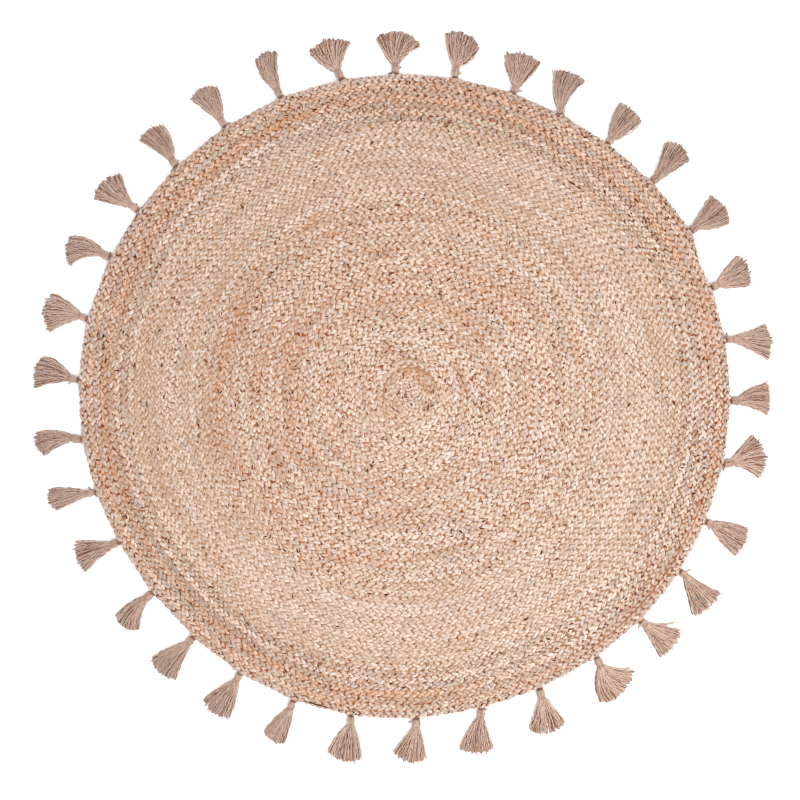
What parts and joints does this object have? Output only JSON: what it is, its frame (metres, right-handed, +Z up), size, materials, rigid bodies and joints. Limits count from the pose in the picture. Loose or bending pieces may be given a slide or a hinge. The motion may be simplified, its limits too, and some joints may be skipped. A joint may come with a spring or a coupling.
{
  "type": "round rug",
  "caption": "Round flat floor rug made of one long jute braid sewn in a spiral, with knotted cotton tassels spaced around its edge.",
  "frame": {"origin": "middle of the round rug, on its flat underside, at floor level", "axes": "+Z up out of the rug's top; +Y towards the top of the picture and +X to its right, seen from above"},
  "size_m": [1.3706, 1.3563, 0.01],
  "materials": {
    "jute": "matte natural jute fibre",
    "cotton": "matte soft cotton yarn"
  },
  "bodies": {
    "root": {"braided_rug": "jute", "tassel_01": "cotton", "tassel_02": "cotton", "tassel_03": "cotton", "tassel_04": "cotton", "tassel_05": "cotton", "tassel_06": "cotton", "tassel_07": "cotton", "tassel_08": "cotton", "tassel_09": "cotton", "tassel_10": "cotton", "tassel_11": "cotton", "tassel_12": "cotton", "tassel_13": "cotton", "tassel_14": "cotton", "tassel_15": "cotton", "tassel_16": "cotton", "tassel_17": "cotton", "tassel_18": "cotton", "tassel_19": "cotton", "tassel_20": "cotton", "tassel_21": "cotton", "tassel_22": "cotton", "tassel_23": "cotton", "tassel_24": "cotton", "tassel_25": "cotton", "tassel_26": "cotton", "tassel_27": "cotton", "tassel_28": "cotton", "tassel_29": "cotton", "tassel_30": "cotton", "tassel_31": "cotton", "tassel_32": "cotton", "tassel_33": "cotton", "tassel_34": "cotton"}
  },
  "joints": []
}
